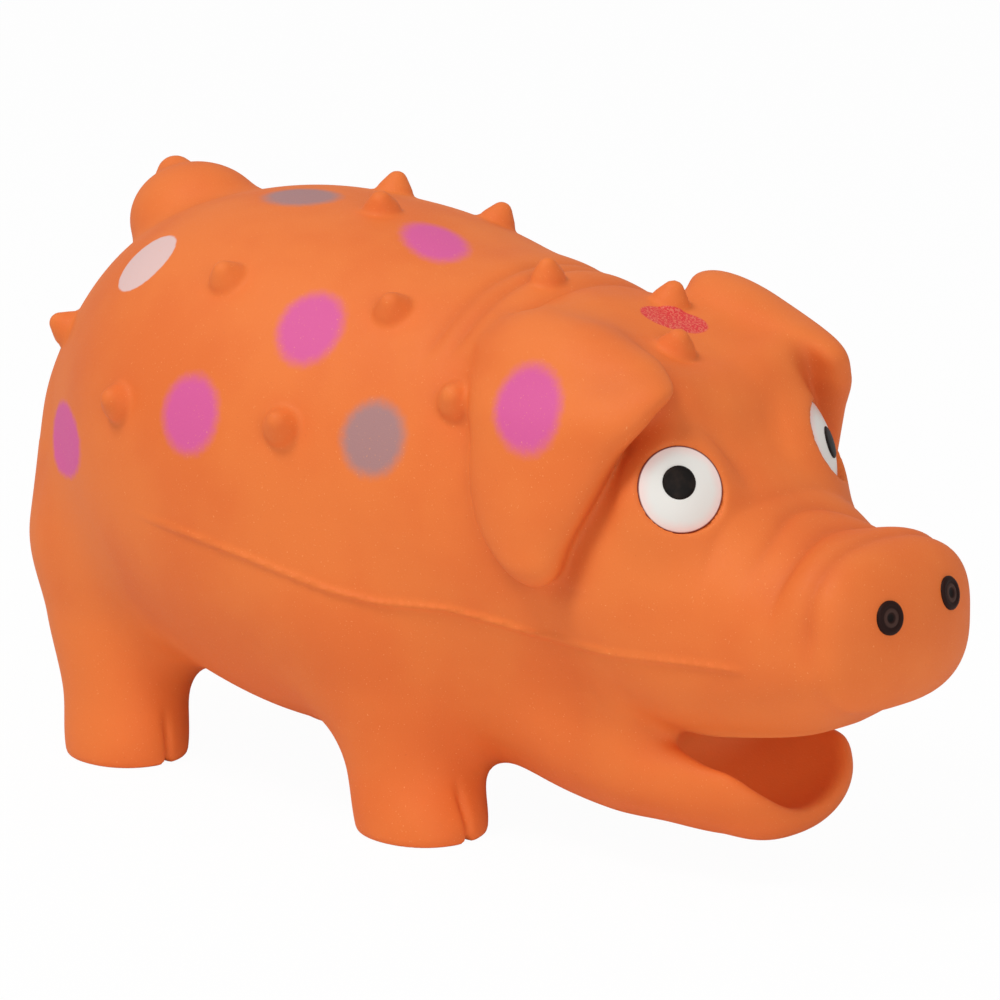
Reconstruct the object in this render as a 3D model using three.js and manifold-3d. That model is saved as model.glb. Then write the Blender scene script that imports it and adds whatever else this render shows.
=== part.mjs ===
// A latex pig for a dog to chew: a hollow moulded skin, stuffed with fibre, with a grunting bellows inside.
// Millimetres. +X is the snout, +Y the pig's left and +Z up. The origin is on the floor under the middle.
import * as THREE from "three";
import { mergeVertices } from "three/addons/utils/BufferGeometryUtils.js";
import Module from "manifold-3d";

const wasm = await Module();
wasm.setup();

// General sizes
const WALL = 2.8;
const NECK_X = 24;
const GAP = 0.3;
const SIDES = [
  ["left", 1],
  ["right", -1],
];

// Body, head and lower jaw: stations along the pig, each [x, half width, bottom, top, squareness].
// A squareness of 2 is an ellipse, and a station with no width is a rounded tip.
const TRUNK_STATIONS = [
  [-114.8, 0, 71, 73, 2],
  [-108, 26, 38, 92, 2.1],
  [-94, 37, 28.5, 109, 2.2],
  [-67, 50.5, 20, 121, 2.25],
  [-32, 54, 12.5, 122, 2.25],
  [3, 46.5, 14.5, 115.5, 2.2],
  [30, 35, 24, 106, 2.1],
  [51, 0, 60, 64, 2],
];
const HEAD_STATIONS = [
  [-8, 0, 69, 73, 2],
  [6, 35, 37.5, 104.5, 2],
  [26, 37.5, 31, 109, 2.1],
  [46, 36.5, 28.5, 105, 2.1],
  [62, 35, 27.5, 96.5, 2.2],
  [78, 28.5, 27.5, 80.5, 2.2],
  [94, 24.5, 31.5, 72.5, 2.3],
  [104, 23.2, 36, 72, 2.6],
  [110.5, 19.8, 38.8, 68, 2.5],
  [115, 0, 53, 55, 2],
];
const JAW_STATIONS = [
  [8, 0, 28, 32, 2],
  [28, 25, 11.5, 44.5, 2.1],
  [50, 26, 7, 37, 2.2],
  [64, 24.5, 7.3, 33, 2.3],
  [75, 21.3, 6.6, 32, 2.3],
  [84, 17.5, 7.4, 34, 2.3],
  [91.5, 0, 18, 20, 2],
];

// The mouth is scooped out of the jaw, and the palate above it out of the underside of the snout.
const MOUTH = { centre: [76.5, 0, 36], radii: [25, 18.5, 23.5] };
const PALATE = { centre: [80, 0, 29], radii: [19, 12, 5.5] };

// Legs: stations up the leg, each [z, x, y, half length, half width, squareness]. Ears the same, turned.
const FRONT_LEG_STATIONS = [
  [-9, 9, 28.6, 11, 10.2, 2.15],
  [2, 8.8, 28.5, 13.7, 12.8, 2.15],
  [14, 4.4, 27.3, 13.2, 12.7, 2.15],
  [30, 0, 25.8, 17.2, 16, 2.15],
  [50, -7, 24, 22, 20.5, 2.15],
  [66, -7, 22, 0, 0, 2],
];
const REAR_LEG_STATIONS = [
  [-9, -78, 30.5, 11, 10, 2.15],
  [2, -78.3, 30.3, 13.5, 12.5, 2.15],
  [14, -80, 28.7, 13.8, 12.9, 2.15],
  [30, -82.5, 26.5, 17, 15.8, 2.15],
  [50, -85.6, 24, 19, 18, 2.15],
  [66, -85.6, 22, 0, 0, 2],
];
const SOLE_THICKNESS = 4;
const TOE_CLEFT = { radius: 1.7, height: 15 };
const EAR_CENTRE = [45, 33];
const EAR_TURN = -7.3;
const EAR_STATIONS = [
  [59.5, 4.5, 5.7, 0, 0, 2],
  [62.5, 4.2, 5.7, 6.5, 5, 2.1],
  [68, 3.6, 5.2, 11.5, 6, 2.2],
  [76, 3, 4.2, 14.7, 6.5, 2.3],
  [86, 4.4, 1.7, 18, 7, 2.4],
  [94, 6.6, -0.8, 21.3, 7.2, 2.5],
  [101, 5, -3.3, 20, 7.5, 2.3],
  [108.5, -2, -6.3, 10.5, 7, 2],
  [112.7, -6, -7.3, 0, 0, 2],
];
// The thick part between each ear and the forehead, which belongs to the head.
const EAR_ROOT = { centre: [49, 24.5, 98], radii: [18, 10.5, 9.7] };

// Tail: a curl pressed on the rump, with its tip standing up at the back.
const TAIL = { centre: [-85.5, 0, 112.2], radii: [16.2, 14, 13] };
const TAIL_TIP = { centre: [-94.4, 0, 121.4], radii: [4.2, 4.2, 4.2] };

// Cones moulded on the skin, each [x, degrees round the section from the pig's left].
const PIMPLE = { foot: 3.9, height: 4.8 };
const BODY_PIMPLES = [
  [-43, 74],
  [-21, 98],
  [-18, 67],
];
const PAIRED_BODY_PIMPLES = [
  [-95.5, 144],
  [-52.5, 167],
  [-35, 133],
  [-10, 163],
  [4, 127],
  [19.5, 150],
];
const HEAD_PIMPLES = [
  [29, 101],
  [33, 62],
  [54.5, 97],
];

// Eyes on their bosses and nostril vents: where they sit on the head, and their own sizes.
const EYE_SEAT = { centre: [73.4, 23.6, 79.9], facing: [0.8, 0.495, 0.33] };
const EYE_BOSS = { edge: 9.7, foot: 12.5, depth: 7 };
const EYE = { radius: 8.5, back: 0.9, rim: 0.3, crown: 1.7 };
const PUPIL = { radius: 3.3, up: 1.2, floor: 0.8, crown: 2.4 };
const NOSTRIL_SEAT = { y: 9.3, z: 59.6 };
const VENT = { flange: 3.4, stem: 1.9, bore: 0.6, sunk: 0.6, length: 2.5 };

// Grunter: stands in the belly on the patch, all of it round about one upright axis.
const GRUNTER_X = -30;
const BELLY_HOLE = 21;
const POCKET_TOP = 70;
const BASE = { radius: 18, rim: 16.2, foot: 9, bore: 4, bottom: 18, floor: 22, seat: 24, top: 30 };
const BELLOWS = { wall: 0.9, low: 14, high: 17.4, folds: 5, bottom: 24.3, start: 31, end: 56, top: 62 };
const TOP_PLATE = { radius: 16.5, bottom: 62.3, top: 64.6, skirt: 14.2, skirtWall: 1.4, skirtLength: 5 };
const REED_TUBE = { radius: 3.7, bore: 2.2, bottom: 18.6, top: 37, flat: 2, face: 25, slot: 2 };
const REED = { width: 3.4, thick: 0.35, bottom: 26.6, top: 39 };
const CLIP = { radius: 5.2, bottom: 25, top: 28 };

const COLOURS = {
  latex: { color: 0xee7a3a, roughness: 0.72 },
  eye: { color: 0xf4f1ee, roughness: 0.45 },
  pupil: { color: 0x14100e, roughness: 0.35 },
  nostril: { color: 0x35170f, roughness: 0.5 },
  filling: { color: 0xf2efe8, roughness: 0.95 },
  plastic: { color: 0xe9e6dc, roughness: 0.5 },
  bellows: { color: 0xd8cdb4, roughness: 0.7 },
  reed: { color: 0xb8322a, roughness: 0.45 },
};

// Cubic interpolation of a table's columns, with three-point slopes, and straight beyond its ends.
function slopes(us, rows) {
  const last = us.length - 1;
  const rise = us.slice(1).map((u, i) => rows[i + 1].map((v, c) => (v - rows[i][c]) / (u - us[i])));
  return us.map((u, i) =>
    rows[i].map((_, c) => {
      if (i === 0) return 1.5 * rise[0][c] - 0.5 * rise[1][c];
      if (i === last) return 1.5 * rise[last - 1][c] - 0.5 * rise[last - 2][c];
      const before = u - us[i - 1];
      const after = us[i + 1] - u;
      return (before * rise[i][c] + after * rise[i - 1][c]) / (before + after);
    }),
  );
}

// A closed form swept through elliptic stations. It interpolates the area of its sections, so that
// both ends come out round. place turns (along, across a, across b) into a point.
class Loft {
  constructor(stations, place) {
    this.place = place;
    this.us = stations.map((s) => s.at);
    const last = stations.length - 1;
    this.rows = stations.map((s, i) => {
      const shape = i === 0 ? stations[1] : i === last ? stations[last - 1] : s;
      return [s.a, s.b, s.wa * s.wb, Math.log(shape.wa / shape.wb), s.n];
    });
    this.slopes = slopes(this.us, this.rows);
  }
  get start() {
    return this.us[0];
  }
  get end() {
    return this.us[this.us.length - 1];
  }
  section(u) {
    let i = 0;
    while (i < this.us.length - 2 && u > this.us[i + 1]) i++;
    const span = this.us[i + 1] - this.us[i];
    const t = (u - this.us[i]) / span;
    const [t2, t3] = [t * t, t * t * t];
    return this.rows[i].map(
      (low, c) =>
        (2 * t3 - 3 * t2 + 1) * low +
        (t3 - 2 * t2 + t) * span * this.slopes[i][c] +
        (3 * t2 - 2 * t3) * this.rows[i + 1][c] +
        (t3 - t2) * span * this.slopes[i + 1][c],
    );
  }
  point(u, degrees) {
    const [a, b, area, shape, n] = this.section(u);
    const mean = Math.sqrt(Math.max(area, 0));
    const stretch = Math.exp(shape / 2);
    const angle = THREE.MathUtils.degToRad(degrees);
    const reach = (v) => Math.sign(v) * Math.abs(v) ** (2 / n);
    return this.place(
      u,
      a + mean * stretch * reach(Math.cos(angle)),
      b + (mean / stretch) * reach(Math.sin(angle)),
    );
  }
  normal(u, degrees) {
    const along = this.point(u + 0.5, degrees).sub(this.point(u - 0.5, degrees));
    const round = this.point(u, degrees + 1).sub(this.point(u, degrees - 1));
    return round.cross(along).normalize();
  }
  geometry(rings, sides) {
    const points = [this.point(this.start, 0)];
    for (let i = 1; i < rings; i++) {
      const u = THREE.MathUtils.lerp(this.start, this.end, 0.5 - 0.5 * Math.cos((Math.PI * i) / rings));
      for (let j = 0; j < sides; j++) points.push(this.point(u, (360 * j) / sides));
    }
    points.push(this.point(this.end, 0));
    const index = [];
    const at = (i, j) => 1 + (i - 1) * sides + (j % sides);
    for (let j = 0; j < sides; j++) {
      index.push(0, at(1, j + 1), at(1, j));
      for (let i = 1; i < rings - 1; i++) {
        index.push(at(i, j), at(i, j + 1), at(i + 1, j + 1));
        index.push(at(i, j), at(i + 1, j + 1), at(i + 1, j));
      }
      index.push(points.length - 1, at(rings - 1, j), at(rings - 1, j + 1));
    }
    return new THREE.BufferGeometry().setFromPoints(points).setIndex(index);
  }
}

function loftAlong(rows) {
  const stations = rows.map(([x, half, bottom, top, n]) => ({
    at: x,
    a: 0,
    b: (bottom + top) / 2,
    wa: half,
    wb: half ? (top - bottom) / 2 : 0,
    n,
  }));
  return new Loft(stations, (x, y, z) => new THREE.Vector3(x, y, z));
}

function loftUp(rows, centre = [0, 0], degrees = 0) {
  const stations = rows.map(([z, x, y, half, thick, n]) => ({ at: z, a: x, b: y, wa: half, wb: thick, n }));
  const axis = new THREE.Vector3(0, 0, 1);
  const radians = THREE.MathUtils.degToRad(degrees);
  const middle = new THREE.Vector3(centre[0], centre[1], 0);
  const turn = (point) => point.applyAxisAngle(axis, radians).add(middle);
  return new Loft(stations, (z, x, y) => turn(new THREE.Vector3(x, y, z)));
}

// Solids: a closed geometry with its vertices merged, and the way back to a geometry.
function solid(geometry, matrix = new THREE.Matrix4()) {
  const bare = new THREE.BufferGeometry();
  bare.setAttribute("position", geometry.getAttribute("position").clone());
  bare.setIndex(geometry.index);
  bare.applyMatrix4(matrix);
  const merged = mergeVertices(bare, 1e-4);
  const triVerts = new Uint32Array(merged.index.array);
  if (matrix.determinant() < 0) triVerts.reverse();
  return new wasm.Manifold(
    new wasm.Mesh({ numProp: 3, vertProperties: merged.attributes.position.array, triVerts }),
  );
}

function geometryOf(made) {
  const { vertProperties, triVerts } = made.getMesh();
  const geometry = new THREE.BufferGeometry();
  geometry.setAttribute("position", new THREE.BufferAttribute(vertProperties, 3));
  geometry.setIndex(new THREE.BufferAttribute(triVerts, 1));
  geometry.computeVertexNormals();
  return geometry;
}

// The same surface moved out along its normals, or in when the distance is negative.
function offset(geometry, distance) {
  const moved = geometry.clone();
  moved.computeVertexNormals();
  const { position, normal } = moved.attributes;
  const point = new THREE.Vector3();
  const out = new THREE.Vector3();
  for (let i = 0; i < position.count; i++) {
    point.fromBufferAttribute(position, i);
    out.fromBufferAttribute(normal, i);
    position.setXYZ(i, ...point.addScaledVector(out, distance));
  }
  return moved;
}

const mirrored = new THREE.Matrix4().makeScale(1, -1, 1);
const sideMatrix = (side) => (side < 0 ? mirrored : new THREE.Matrix4());

// Round pieces: a profile of [radius, height] points turned about the Z axis.
function turned(profile, sides) {
  const points = profile.map(([r, z]) => new THREE.Vector2(r, z));
  return new THREE.LatheGeometry(points, sides).rotateX(Math.PI / 2);
}

function disc(radius, bottom, top, sides = 32) {
  const profile = [
    [0, bottom],
    [radius, bottom],
    [radius, top],
    [0, top],
  ];
  return turned(profile, sides);
}

// An ellipsoid, or a larger one round it.
function ellipsoid({ centre, radii }, growth = 0, across = 18, down = 12) {
  const size = new THREE.Vector3(...radii).addScalar(growth);
  const matrix = new THREE.Matrix4().makeTranslation(...centre).scale(size);
  return solid(new THREE.SphereGeometry(1, across, down), matrix);
}

// The frame of something seated on a surface: Z out along the normal, Y as near to up as it can be.
function seat(point, normal) {
  const side = new THREE.Vector3(0, 0, 1).cross(normal).normalize();
  const up = normal.clone().cross(side);
  return new THREE.Matrix4().makeBasis(side, up, normal).setPosition(point);
}

const pig = new THREE.Group();
const materials = {};
for (const [name, look] of Object.entries(COLOURS))
  materials[name] = new THREE.MeshStandardMaterial({ ...look, metalness: 0 });

function place(name, made, material, matrix) {
  const geometry = made.isBufferGeometry ? made : geometryOf(made);
  const mesh = new THREE.Mesh(geometry, materials[material]);
  mesh.name = name;
  if (matrix) mesh.applyMatrix4(matrix);
  pig.add(mesh);
}

// The outer forms, their hollows, and the forms grown by the gap that cut what meets them.
const trunk = loftAlong(TRUNK_STATIONS);
const head = loftAlong(HEAD_STATIONS);
const jaw = loftAlong(JAW_STATIONS);
const trunkOuter = trunk.geometry(18, 28);
const headOuter = head.geometry(20, 24);
const jawOuter = jaw.geometry(12, 20);
const trunkCut = solid(offset(trunkOuter, GAP));
const headCut = solid(offset(headOuter, GAP));
const jawCut = solid(offset(jawOuter, GAP));
const trunkCore = trunk.geometry(10, 14);
const headCore = head.geometry(11, 14);
const trunkHollow = solid(offset(trunkCore, -WALL));
const headHollow = solid(offset(headCore, -WALL)).subtract(ellipsoid(PALATE, WALL));

// A row of cones on a form, and those of a paired list on both sides of it.
function pimples(loft, middle, paired = []) {
  const { foot, height } = PIMPLE;
  const profile = [
    [0, -1.6],
    [foot, -1.6],
    [foot * 0.9, height * 0.15],
    [foot * 0.5, height * 0.7],
    [foot * 0.25, height * 0.93],
    [0, height],
  ];
  const both = paired.flatMap(([x, angle]) => [
    [x, angle],
    [x, 180 - angle],
  ]);
  return [...middle, ...both]
    .map(([x, angle]) => solid(turned(profile, 8), seat(loft.point(x, angle), loft.normal(x, angle))))
    .reduce((joined, cone) => joined.add(cone));
}

// Legs stand on flat soles. Each is hollow above its sole, and its hollow opens into the body.
function leg(stations) {
  const loft = loftUp(stations);
  const outer = loft.geometry(10, 16);
  const below = solid(disc(300, -60, 0, 4));
  const underHollow = solid(disc(300, -60, SOLE_THICKNESS, 4));
  const [, x, y, half] = stations[1];
  const cleft = solid(
    disc(TOE_CLEFT.radius, -1, TOE_CLEFT.height, 6).translate(x + half + TOE_CLEFT.radius * 0.35, y, 0),
  );
  const core = loft.geometry(7, 10);
  return {
    form: solid(outer).subtract(below).subtract(cleft),
    hollow: solid(offset(core, -WALL)).subtract(underHollow),
    filling: solid(offset(core, -WALL - GAP)).subtract(solid(disc(300, -60, SOLE_THICKNESS + GAP, 4))),
  };
}
const legs = { front: leg(FRONT_LEG_STATIONS), rear: leg(REAR_LEG_STATIONS) };
const onSide = (made, side) => solid(geometryOf(made), sideMatrix(side));

// Body: a hollow trunk, open at the neck, the four legs and the belly hole. The head takes the rest of
// its front, from the neck on.
const bellyHole = solid(disc(BELLY_HOLE, -5, 40, 28).translate(GRUNTER_X, 0, 0));
const bellyPlug = solid(disc(BELLY_HOLE - GAP, -5, 40, 28).translate(GRUNTER_X, 0, 0));
const trunkShell = solid(trunkOuter).subtract(trunkHollow);
let body = trunkShell.subtract(bellyHole).subtract(headCut.trimByPlane([1, 0, 0], NECK_X));
for (const [, side] of SIDES)
  for (const { hollow } of Object.values(legs)) body = body.subtract(onSide(hollow, side));
body = body.add(pimples(trunk, BODY_PIMPLES, PAIRED_BODY_PIMPLES)).subtract(trunkHollow);
place("body", body, "latex");
place("belly_patch", trunkShell.intersect(bellyPlug), "latex");

// Head: hollow, open towards the body, with a low boss and a shallow seat for each eye, a stepped hole
// for each vent, a thick root for each ear and the palate.
const eyeMiddle = new THREE.Vector3(...EYE_SEAT.centre);
const eyeFrame = seat(eyeMiddle, new THREE.Vector3(...EYE_SEAT.facing).normalize());
function eyeBoss(growth) {
  const { edge, foot, depth } = EYE_BOSS;
  const profile = [
    [0, -depth - growth],
    [foot + growth, -depth - growth],
    [edge + growth, growth],
    [0, growth],
  ];
  return solid(turned(profile, 32), eyeFrame);
}
const eyePocket = solid(disc(EYE.radius + GAP, -EYE.back - GAP, 6, 32), eyeFrame);
const noseEnd = HEAD_STATIONS[HEAD_STATIONS.length - 2][0];
const ventFrame = (() => {
  const rise = (z, x) => {
    const [, b, area, shape] = head.section(x);
    return (z - b) / (Math.sqrt(area) / Math.exp(shape / 2));
  };
  const angle = THREE.MathUtils.radToDeg(Math.asin(rise(NOSTRIL_SEAT.z, noseEnd)));
  let x = noseEnd;
  while (x < head.end - 0.1 && head.point(x, angle).y > NOSTRIL_SEAT.y) x += 0.05;
  return seat(head.point(x, angle), head.normal(x, angle));
})();
const ventHole = solid(disc(VENT.flange + GAP, -VENT.sunk - GAP, 6, 20), ventFrame).add(
  solid(disc(VENT.stem + GAP, -WALL * 2, 1, 20), ventFrame),
);
let skull = solid(headOuter).add(pimples(head, HEAD_PIMPLES));
for (const [, side] of SIDES) {
  skull = skull.add(onSide(eyeBoss(0), side));
  skull = skull.add(onSide(ellipsoid(EAR_ROOT), side));
}
skull = skull.trimByPlane([1, 0, 0], NECK_X + GAP).subtract(ellipsoid(PALATE));
skull = skull.subtract(trunkHollow).subtract(headHollow);
for (const [, side] of SIDES) {
  skull = skull.subtract(onSide(eyePocket, side));
  skull = skull.subtract(onSide(ventHole, side));
}
place("head", skull, "latex");

// Lower jaw: a scoop that hangs open below the snout.
const scoop = solid(jawOuter).subtract(ellipsoid(MOUTH, 0, 24, 16));
place("lower_jaw", scoop.subtract(headCut).subtract(trunkCut), "latex");

const tailForm = ellipsoid(TAIL, 0, 16, 10).add(ellipsoid(TAIL_TIP, 0, 10, 6));
place("tail", tailForm.subtract(trunkCut), "latex");

// The ears, and the legs with their fillings.
const earForm = solid(loftUp(EAR_STATIONS, EAR_CENTRE, EAR_TURN).geometry(12, 16));
const earFlap = earForm.subtract(ellipsoid(EAR_ROOT, GAP)).subtract(eyeBoss(GAP));
for (const [name, side] of SIDES) {
  const flap = onSide(earFlap, side).subtract(headCut).subtract(trunkCut);
  place("ear_" + name, flap, "latex");
  for (const [which, { form, hollow, filling }] of Object.entries(legs)) {
    const stump = onSide(form.subtract(hollow), side).subtract(trunkCut).subtract(jawCut);
    place(which + "_leg_" + name, stump, "latex");
    place(
      which + "_leg_filling_" + name,
      onSide(filling, side).subtract(trunkHollow).subtract(jawCut),
      "filling",
    );
  }
}

// Fibre filling: the belly and the head. The belly's has an upright pocket for the grunter.
const pocket = solid(disc(BELLY_HOLE, -5, POCKET_TOP, 28).translate(GRUNTER_X, 0, 0));
place("body_filling", solid(offset(trunkCore, -WALL - GAP)).subtract(pocket), "filling");
const headFilling = solid(offset(headCore, -WALL - GAP)).trimByPlane([1, 0, 0], NECK_X + GAP);
const overPalate = headFilling.subtract(ellipsoid(PALATE, WALL + GAP));
place("head_filling", overPalate.subtract(trunkHollow), "filling");

// Eyes: a white dome with a round recess, and the pupil in it. They share a turned group for each side.
function eyePieces() {
  const { radius, back, rim, crown } = EYE;
  const dome = (r) => rim + (crown - rim) * (1 - (r / radius) ** 2);
  const profile = [[0, -back], [radius, -back]];
  for (const share of [1, 0.85, 0.65, 0.4, 0]) profile.push([radius * share, dome(radius * share)]);
  const recess = disc(PUPIL.radius + GAP, PUPIL.floor - GAP, 6, 20).translate(0, PUPIL.up, 0);
  const white = solid(turned(profile, 32)).subtract(solid(recess));
  const pupilProfile = [
    [0, PUPIL.floor],
    [PUPIL.radius, PUPIL.floor],
    [PUPIL.radius, PUPIL.crown - 0.7],
    [PUPIL.radius * 0.7, PUPIL.crown - 0.2],
    [0, PUPIL.crown],
  ];
  return { white, pupil: turned(pupilProfile, 20).translate(0, PUPIL.up, 0) };
}

// Nostril vents: a rivet with a raised ring and a small air hole, through the skin of the snout.
function vent() {
  const { flange, stem, bore, sunk, length } = VENT;
  const profile = [
    [bore, -length],
    [stem, -length],
    [stem, -sunk],
    [flange, -sunk],
    [flange, 0.1],
    [flange * 0.85, 0.7],
    [flange * 0.6, 0.75],
    [flange * 0.52, 0.45],
    [flange * 0.38, 0.7],
    [bore, 0.35],
    [bore, -length],
  ];
  return turned(profile, 20);
}

const eye = eyePieces();
for (const [name, side] of SIDES) {
  const frame = (matrix) => sideMatrix(side).clone().multiply(matrix);
  place("eye_white_" + name, solid(geometryOf(eye.white), frame(eyeFrame)), "eye");
  place("pupil_" + name, solid(eye.pupil, frame(eyeFrame)), "pupil");
  place("nostril_vent_" + name, solid(vent(), frame(ventFrame)), "nostril");
}

// Grunter base: a cup on a foot, with an upright bore for the reed tube.
const grunterAxis = new THREE.Matrix4().makeTranslation(GRUNTER_X, 0, 0);
const baseProfile = [
  [BASE.bore, BASE.bottom],
  [BASE.foot, BASE.bottom],
  [BASE.foot, BASE.floor],
  [BASE.radius, BASE.floor],
  [BASE.radius, BASE.top],
  [BASE.rim, BASE.top],
  [BASE.rim, BASE.seat],
  [BASE.bore, BASE.seat],
  [BASE.bore, BASE.bottom],
];
place("grunter_base", turned(baseProfile, 28), "plastic", grunterAxis);

// Bellows: a thin corrugated sleeve with a straight collar at each end.
function bellowsProfile() {
  const { wall, low, high, folds, bottom, start, end, top } = BELLOWS;
  const collar = BASE.rim - GAP;
  const outer = [
    [collar, bottom],
    [collar, start - 1],
  ];
  const pitch = (end - start) / folds;
  for (let i = 0; i < folds; i++) {
    outer.push([low + wall, start + pitch * i]);
    outer.push([high, start + pitch * (i + 0.5)]);
  }
  outer.push([low + wall, end]);
  const neck = TOP_PLATE.skirt + GAP + wall;
  outer.push([neck, end + 1], [neck, top]);
  const inner = outer.map(([r, z]) => [r - wall, z]).reverse();
  return [...outer, ...inner, outer[0]];
}
place("grunter_bellows", turned(bellowsProfile(), 20), "bellows", grunterAxis);

const plateProfile = [
  [0, TOP_PLATE.bottom],
  [TOP_PLATE.skirt - TOP_PLATE.skirtWall, TOP_PLATE.bottom],
  [TOP_PLATE.skirt - TOP_PLATE.skirtWall, TOP_PLATE.bottom - TOP_PLATE.skirtLength],
  [TOP_PLATE.skirt, TOP_PLATE.bottom - TOP_PLATE.skirtLength],
  [TOP_PLATE.skirt, TOP_PLATE.bottom],
  [TOP_PLATE.radius, TOP_PLATE.bottom],
  [TOP_PLATE.radius, TOP_PLATE.top],
  [0, TOP_PLATE.top],
];
place("grunter_top_plate", turned(plateProfile, 28), "plastic", grunterAxis);

// Reed tube: its bore opens below and through a slot in the flat face that the reed beats on.
function reedTube() {
  const { radius, bore, bottom, top, flat, face, slot } = REED_TUBE;
  const outside = solid(disc(radius, bottom, top, 20));
  const inside = solid(disc(bore, bottom - 1, top - 2, 16));
  const facing = new THREE.BoxGeometry(radius, radius * 2.2, top - face + 1);
  facing.translate(flat + radius / 2, 0, (top + 1 + face) / 2);
  const window = new THREE.BoxGeometry(radius, slot, top - face - 6);
  window.translate(flat, 0, (top + face + 2) / 2);
  return outside.subtract(inside).subtract(solid(facing)).subtract(solid(window));
}
place("reed_tube", reedTube(), "plastic", grunterAxis);

const reedX = REED_TUBE.flat + GAP + REED.thick / 2;
const reed = new THREE.BoxGeometry(REED.thick, REED.width, REED.top - REED.bottom);
reed.translate(reedX, 0, (REED.top + REED.bottom) / 2);
place("reed_tongue", reed, "reed", grunterAxis);

// Reed clip: a collar round the tube with a flat inside that holds the foot of the reed.
function reedClip() {
  const inner = REED_TUBE.radius + GAP;
  const flat = reedX + REED.thick / 2 + GAP;
  const half = Math.acos(flat / inner);
  const hole = new THREE.Path().absarc(0, 0, inner, half, 2 * Math.PI - half, false).closePath();
  const shape = new THREE.Shape().absarc(0, 0, CLIP.radius, 0, 2 * Math.PI, false);
  shape.holes.push(hole);
  const height = CLIP.top - CLIP.bottom;
  const clip = new THREE.ExtrudeGeometry(shape, { depth: height, bevelEnabled: false, curveSegments: 10 });
  return clip.translate(0, 0, CLIP.bottom);
}
place("reed_clip", reedClip(), "plastic", grunterAxis);

export default pig;
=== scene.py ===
import bpy
import numpy as np
from mathutils import Matrix, Vector


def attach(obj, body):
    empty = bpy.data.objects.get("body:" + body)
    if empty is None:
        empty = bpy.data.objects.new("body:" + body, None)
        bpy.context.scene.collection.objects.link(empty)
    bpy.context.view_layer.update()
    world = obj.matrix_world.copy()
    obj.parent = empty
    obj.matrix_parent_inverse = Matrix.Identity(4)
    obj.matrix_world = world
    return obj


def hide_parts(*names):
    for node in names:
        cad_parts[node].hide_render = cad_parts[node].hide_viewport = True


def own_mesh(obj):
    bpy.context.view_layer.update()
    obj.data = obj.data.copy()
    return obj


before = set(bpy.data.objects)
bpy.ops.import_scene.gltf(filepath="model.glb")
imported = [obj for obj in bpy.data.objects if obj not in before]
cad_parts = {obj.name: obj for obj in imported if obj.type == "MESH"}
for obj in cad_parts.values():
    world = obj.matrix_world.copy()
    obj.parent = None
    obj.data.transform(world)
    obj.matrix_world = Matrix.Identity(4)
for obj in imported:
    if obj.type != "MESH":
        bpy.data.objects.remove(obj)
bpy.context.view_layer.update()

MM = 0.001
TOY = "toy"

# The camera and the stage, in degrees and metres, the lens and the sensor in millimetres
CAMERA_AZIMUTH = 43.2
CAMERA_ELEVATION = 12.4
CAMERA_DISTANCE = 0.915
CAMERA_TARGET = Vector((0.0041, 0, 0.0637))
CAMERA_LENS = 159.8
SENSOR_WIDTH = 36
LAMP_TARGET = Vector((0, 0, 0.06))
FLOOR_HALF = 3000  # millimetres
FLOOR_GLOW = 0.97  # how much of the floor that the camera sees is plain white
WORLD_STRENGTH = 0.49

# Body, head and lower jaw: [x, half width, bottom, top, squareness], much as in the CAD. A station
# with no width is a rounded tip.
TRUNK_STATIONS = [
    [-114.8, 0, 71, 73, 2],
    [-108, 26, 38, 92, 2.1],
    [-94, 36, 28.5, 107.6, 2.2],
    [-67, 50.5, 20, 121, 2.25],
    [-32, 54, 12.5, 122, 2.25],
    [3, 46.5, 14.5, 115.5, 2.2],
    [30, 35, 24, 106, 2.1],
    [51, 0, 60, 64, 2],
]
HEAD_STATIONS = [
    [-8, 0, 69, 73, 2],
    [6, 35, 37.5, 104.5, 2],
    [26, 37.5, 31, 109, 2.1],
    [46, 36.5, 28.5, 105, 2.1],
    [62, 35, 27.5, 96.5, 2.3],
    [78, 28.5, 27.5, 79.7, 2.35],
    [94, 24.5, 31.5, 71.9, 2.3],
    [104, 23.2, 37.6, 72, 2.8],
    [110.5, 19.8, 40.4, 68, 2.7],
    [115, 0, 53, 55, 2],
]
JAW_STATIONS = [
    [8, 0, 28, 32, 2],
    [28, 25, 11.5, 44.5, 2.1],
    [50, 26, 7.6, 37, 2.2],
    [64, 24.5, 8.2, 33, 2.3],
    [75, 21.3, 7.8, 32, 2.3],
    [84, 17.5, 8.4, 34, 2.3],
    [91.5, 0, 21, 23, 2],
]
# Ellipsoids, each a centre and its radii
MOUTH = ((76.5, -0.5, 36), (25, 19, 23))
PALATE = ((78, 0, 29), (17, 12, 5.5))
TAIL = ((-85.5, 0, 112.2), (16.2, 14, 13))
# A centre and a radius
TAIL_TIP = ((-94.4, 1.5, 121.4), 4.2)

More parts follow.
